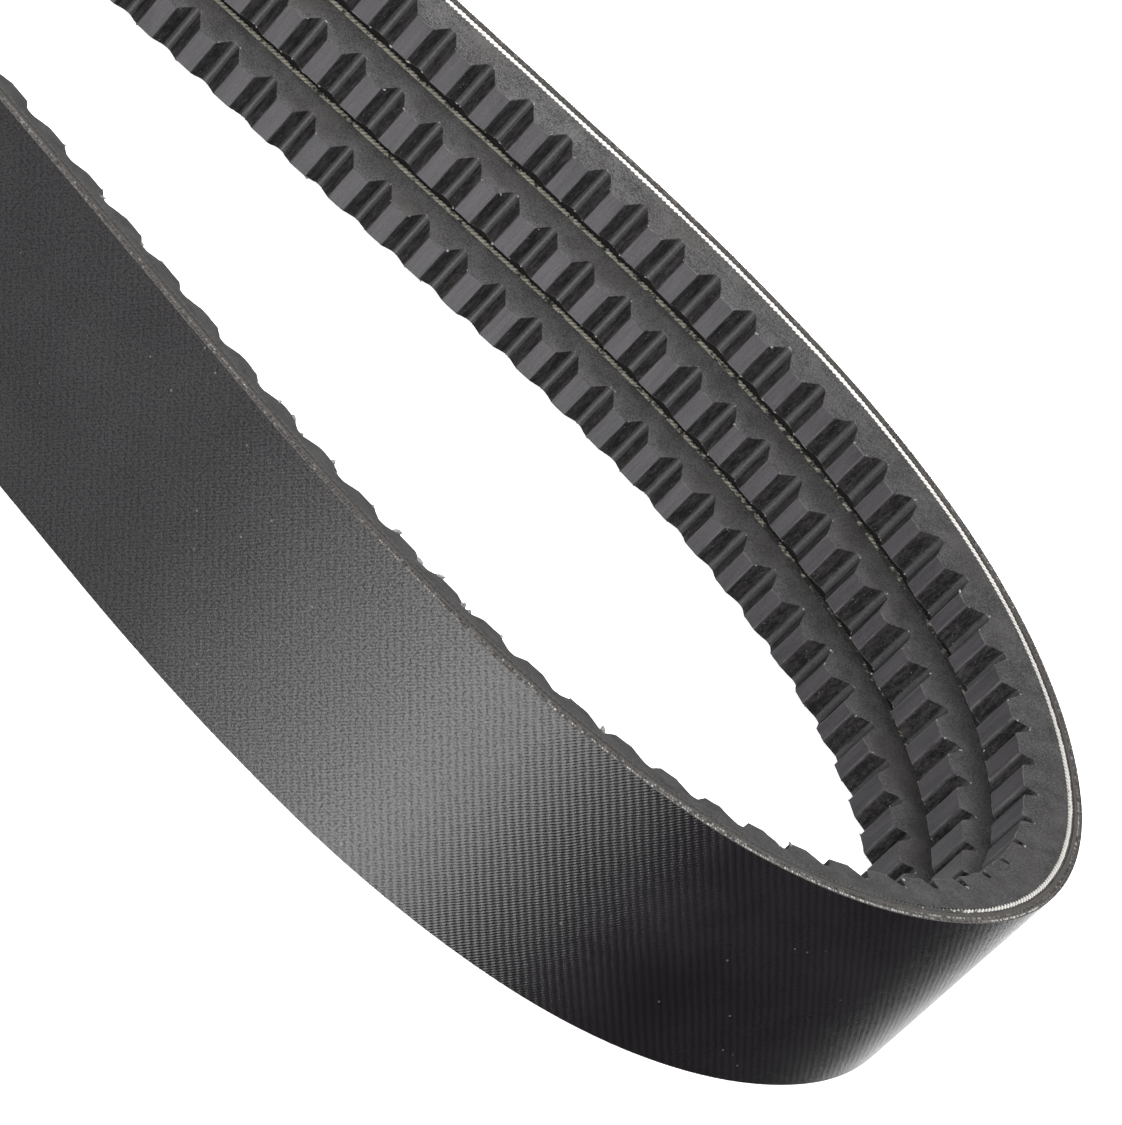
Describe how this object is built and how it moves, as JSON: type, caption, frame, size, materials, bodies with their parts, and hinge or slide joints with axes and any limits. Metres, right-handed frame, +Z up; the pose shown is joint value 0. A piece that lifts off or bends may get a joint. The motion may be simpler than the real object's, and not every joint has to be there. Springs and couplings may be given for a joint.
{
  "type": "joined cogged v belt",
  "caption": "Endless joined V-belt: trapezoidal cogged ribs on a common woven tie band, relaxed into a teardrop loop and standing on its edge.",
  "frame": {"origin": "bottom centre of the belt's bounding box, on the surface it stands on", "axes": "+Z up across the belt's width; +X along the loop's longest extent, towards its wide bend; +Y to that bend's left"},
  "size_m": [0.5426, 0.2006, 0.0548],
  "materials": {
    "cover_fabric": "rubberised woven fabric",
    "tie_gum": "matte",
    "cushion_gum": "matte, cut",
    "cog_rubber": "matte, fibre filled",
    "cord": "twisted yarn"
  },
  "bodies": {
    "root": {"cover_ply_outer": "cover_fabric", "cover_ply_inner": "cover_fabric", "tie_band_gum": "tie_gum", "rib_a_overcord_cushion": "cushion_gum", "rib_a_undercord_cushion": "cushion_gum", "rib_a_cog_rubber": "cog_rubber", "rib_a_tensile_cord_01": "cord", "rib_a_tensile_cord_02": "cord", "rib_a_tensile_cord_03": "cord", "rib_a_tensile_cord_04": "cord", "rib_a_tensile_cord_05": "cord", "rib_a_tensile_cord_06": "cord", "rib_a_tensile_cord_07": "cord", "rib_a_tensile_cord_08": "cord", "rib_a_tensile_cord_09": "cord", "rib_a_tensile_cord_10": "cord", "rib_a_tensile_cord_11": "cord", "rib_b_overcord_cushion": "cushion_gum", "rib_b_undercord_cushion": "cushion_gum", "rib_b_cog_rubber": "cog_rubber", "rib_b_tensile_cord_01": "cord", "rib_b_tensile_cord_02": "cord", "rib_b_tensile_cord_03": "cord", "rib_b_tensile_cord_04": "cord", "rib_b_tensile_cord_05": "cord", "rib_b_tensile_cord_06": "cord", "rib_b_tensile_cord_07": "cord", "rib_b_tensile_cord_08": "cord", "rib_b_tensile_cord_09": "cord", "rib_b_tensile_cord_10": "cord", "rib_b_tensile_cord_11": "cord", "rib_c_overcord_cushion": "cushion_gum", "rib_c_undercord_cushion": "cushion_gum", "rib_c_cog_rubber": "cog_rubber", "rib_c_tensile_cord_01": "cord", "rib_c_tensile_cord_02": "cord", "rib_c_tensile_cord_03": "cord", "rib_c_tensile_cord_04": "cord", "rib_c_tensile_cord_05": "cord", "rib_c_tensile_cord_06": "cord", "rib_c_tensile_cord_07": "cord", "rib_c_tensile_cord_08": "cord", "rib_c_tensile_cord_09": "cord", "rib_c_tensile_cord_10": "cord", "rib_c_tensile_cord_11": "cord"}
  },
  "joints": []
}
